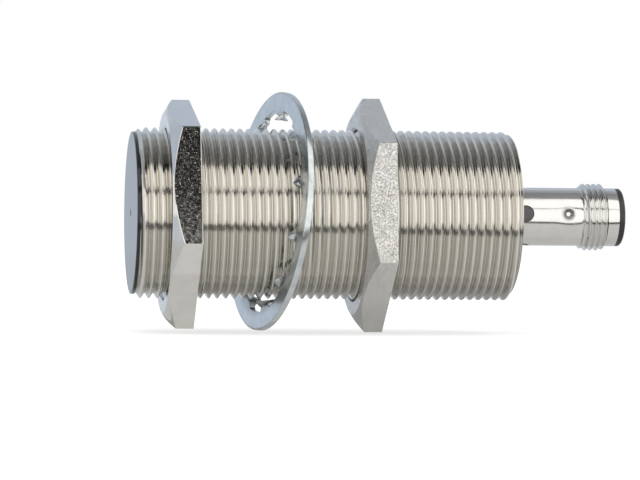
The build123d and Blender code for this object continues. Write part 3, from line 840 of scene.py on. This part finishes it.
card_around("grey_over_plug", ((PLUG_SIDE, 75, 96), (RIGHT, 75, 96)), WHITE, 0.33)
card_around("grey_behind_low", ((LEFT, 96, 112), (RIGHT, 96, 112)), (0.97, 1.0, 1.05), 0.28)
card_around("grey_behind_high", ((LEFT, 112, 124), (RIGHT, 112, 124)), (0.97, 1.0, 1.06), 0.41)
for low, high, strength, colour in (
    (124, 131, 0.44, (0.95, 1.0, 1.08)),
    (131, 142, 0.61, (0.93, 1.0, 1.10)),
    (142, 158, 0.58, (0.88, 1.0, 1.18)),
    (158, 170, 0.62, (0.92, 1.0, 1.12)),
    (170, 182, 0.70, (0.90, 1.0, 1.14)),
):
    card_around(f"sky_{low}", ((-1.5, low, high), (0.75, low, high)), colour, strength)


def floor_card(name, ends, near, far, colour, strength, lift=0.1):
    """Strip on the floor that only reflections show: its two ends along the axis, and its two
    distances from the axis at each end, in millimetres."""
    height = FLOOR_HEIGHT + lift
    corners = [
        (ends[0] * MM, near[0] * MM, height * MM), (ends[1] * MM, near[-1] * MM, height * MM),
        (ends[1] * MM, far[-1] * MM, height * MM), (ends[0] * MM, far[0] * MM, height * MM),
    ]
    return reflected_only(sheet(name, corners, [(0, 1, 2, 3)], glow(name, colour, strength)))


PLUG_START, WHOLE = 70, (-1500, 1500)
FLOOR_SHADOW_TONE, CHAMFER_TONE = (1.0, 0.99, 0.965), (0.98, 1.0, 1.0)
floor_card("bright_floor", WHOLE, (-2000,), (-40,), SOFT_WHITE, 1.3, 0.05)
floor_card("gap_on_floor", (-1500, 20), (-90,), (-53,), WHITE, 0.16, 0.15)
floor_card("gap_on_floor_middle", (20, 90), (-90, -61), (-53, -42), WHITE, 0.14, 0.15)
floor_card("gap_on_floor_plug", (90, 1500), (-61,), (-42,), WHITE, 0.05, 0.15)
# Painted shadow seen in reflections: grey strips over the floor, dimmest under the barrel.
for near, far, shadow_under_barrel, shadow_under_plug in (
    (-53, -33, 0.76, 0.68),
    (-33, -22, 0.72, 0.68),
    (-22, -15, 0.68, 0.67),
    (-15, -7, 0.62, 0.65),
    (-7, -2, 0.46, 0.62),
    (-2, 30, 0.34, 0.58),
):
    for side, ends, strength in (
        ("barrel", (-500, PLUG_START), shadow_under_barrel), ("plug", (PLUG_START, 1500), shadow_under_plug)
    ):
        floor_card(f"tone_{side}_{-near}", ends, (near,), (far,), FLOOR_SHADOW_TONE, strength)
# Lighter spots in that painted shadow, where the front nut's flat and chamfer reflect the floor.
floor_card("tone_front_nut", (4.8, 12.6), (-7,), (-2,), FLOOR_SHADOW_TONE, 0.62, 0.15)
floor_card("tone_front_chamfer", (-500, 0), (-7,), (30,), CHAMFER_TONE, 0.58, 0.15)
floor_card("tone_front_corner", (0, 4.3), (3,), (30,), CHAMFER_TONE, 0.56, 0.15)
floor_card("floor_behind", WHOLE, (30,), (2000,), (0.92, 1.0, 1.10), 0.66)


def seen_rays(nodes, links):
    """1 where a ray comes from the camera, a reflection or through glass."""
    path = nodes.new("ShaderNodeLightPath")
    either = path.outputs["Is Camera Ray"]
    for other in ("Is Glossy Ray", "Is Transmission Ray"):
        larger = nodes.new("ShaderNodeMath")
        larger.operation = "MAXIMUM"
        links.new(either, larger.inputs[0])
        links.new(path.outputs[other], larger.inputs[1])
        either = larger.outputs[0]
    return either


FLOOR_GREY, FLOOR_GLOW, FLOOR_REACH = (0.45, 0.45, 0.45), 0.66, 8
FLOOR_CORNERS = ((-1, -1), (1, -1), (1, 1), (-1, 1))
floor_paint = bpy.data.materials.new("floor_paint")
floor_paint.use_nodes = True
nodes, links = floor_paint.node_tree.nodes, floor_paint.node_tree.links
paint = nodes["Principled BSDF"]
paint.inputs["Base Color"].default_value = (*FLOOR_GREY, 1)
paint.inputs["Roughness"].default_value = 0.9
paint.inputs["Specular IOR Level"].default_value = 0.0
paint.inputs["Emission Color"].default_value = (1, 1, 1, 1)
whiter = nodes.new("ShaderNodeMath")
whiter.operation = "MULTIPLY"
whiter.inputs[1].default_value = FLOOR_GLOW
links.new(seen_rays(nodes, links), whiter.inputs[0])
links.new(whiter.outputs[0], paint.inputs["Emission Strength"])
sheet(
    "floor",
    [(x * FLOOR_REACH, y * FLOOR_REACH, FLOOR_HEIGHT * MM) for x, y in FLOOR_CORNERS],
    [(0, 1, 2, 3)],
    floor_paint,
)

LAMP_PLACE, LAMP_AIM, LAMP_SIZE, LAMP_POWER = (0.04, -0.35, 0.9), (0.04, 0, 0), (1.4, 1.0), 7
lamp_data = bpy.data.lights.new("soft_box", "AREA")
lamp_data.shape = "RECTANGLE"
lamp_data.size, lamp_data.size_y = LAMP_SIZE
lamp_data.energy = LAMP_POWER
lamp = bpy.data.objects.new("soft_box", lamp_data)
lamp.location = LAMP_PLACE
lamp.rotation_euler = (Vector(LAMP_AIM) - lamp.location).to_track_quat("-Z", "Y").to_euler()
lamp.visible_glossy = False
bpy.context.scene.collection.objects.link(lamp)

SKY_LIGHT = 0.75
world = bpy.data.worlds.new("studio")
bpy.context.scene.world = world
world.use_nodes = True
nodes, links = world.node_tree.nodes, world.node_tree.links
nodes.clear()
soft, white = nodes.new("ShaderNodeBackground"), nodes.new("ShaderNodeBackground")
soft.inputs["Color"].default_value = (1, 1, 1, 1)
soft.inputs["Strength"].default_value = SKY_LIGHT
white.inputs["Color"].default_value = (1, 1, 1, 1)
mixed = nodes.new("ShaderNodeMixShader")
out = nodes.new("ShaderNodeOutputWorld")
links.new(seen_rays(nodes, links), mixed.inputs["Fac"])
links.new(soft.outputs[0], mixed.inputs[1])
links.new(white.outputs[0], mixed.inputs[2])
links.new(mixed.outputs[0], out.inputs["Surface"])

# Camera: level with the axis and 53 cm away, with a long lens. It looks 8.4 degrees from
# square across the barrel, from the sensing face's side.
YAW, TILT, ROLL = 0.145894, -0.008414, 0.0097957
LENS, SENSOR_WIDTH = 170.31, 36
CAMERA_PLACE = (-44.04, -527.17, 0)
forward = Vector((sin(YAW) * cos(TILT), cos(YAW) * cos(TILT), sin(TILT)))
right = Vector((cos(YAW), -sin(YAW), 0))
up = right.cross(forward)
camera_data = bpy.data.cameras.new("camera")
camera_data.sensor_width = SENSOR_WIDTH
camera_data.lens = LENS
camera_data.clip_start = 0.01
camera_data.clip_end = 100
camera = bpy.data.objects.new("camera", camera_data)
bpy.context.scene.collection.objects.link(camera)
turned_right = right * cos(ROLL) + up * sin(ROLL)
turned_up = up * cos(ROLL) - right * sin(ROLL)
view = Matrix((turned_right, turned_up, -forward)).transposed().to_4x4()
view.translation = Vector(CAMERA_PLACE) * MM
camera.matrix_world = view
bpy.context.scene.camera = camera

bpy.context.scene.view_settings.view_transform = "Standard"
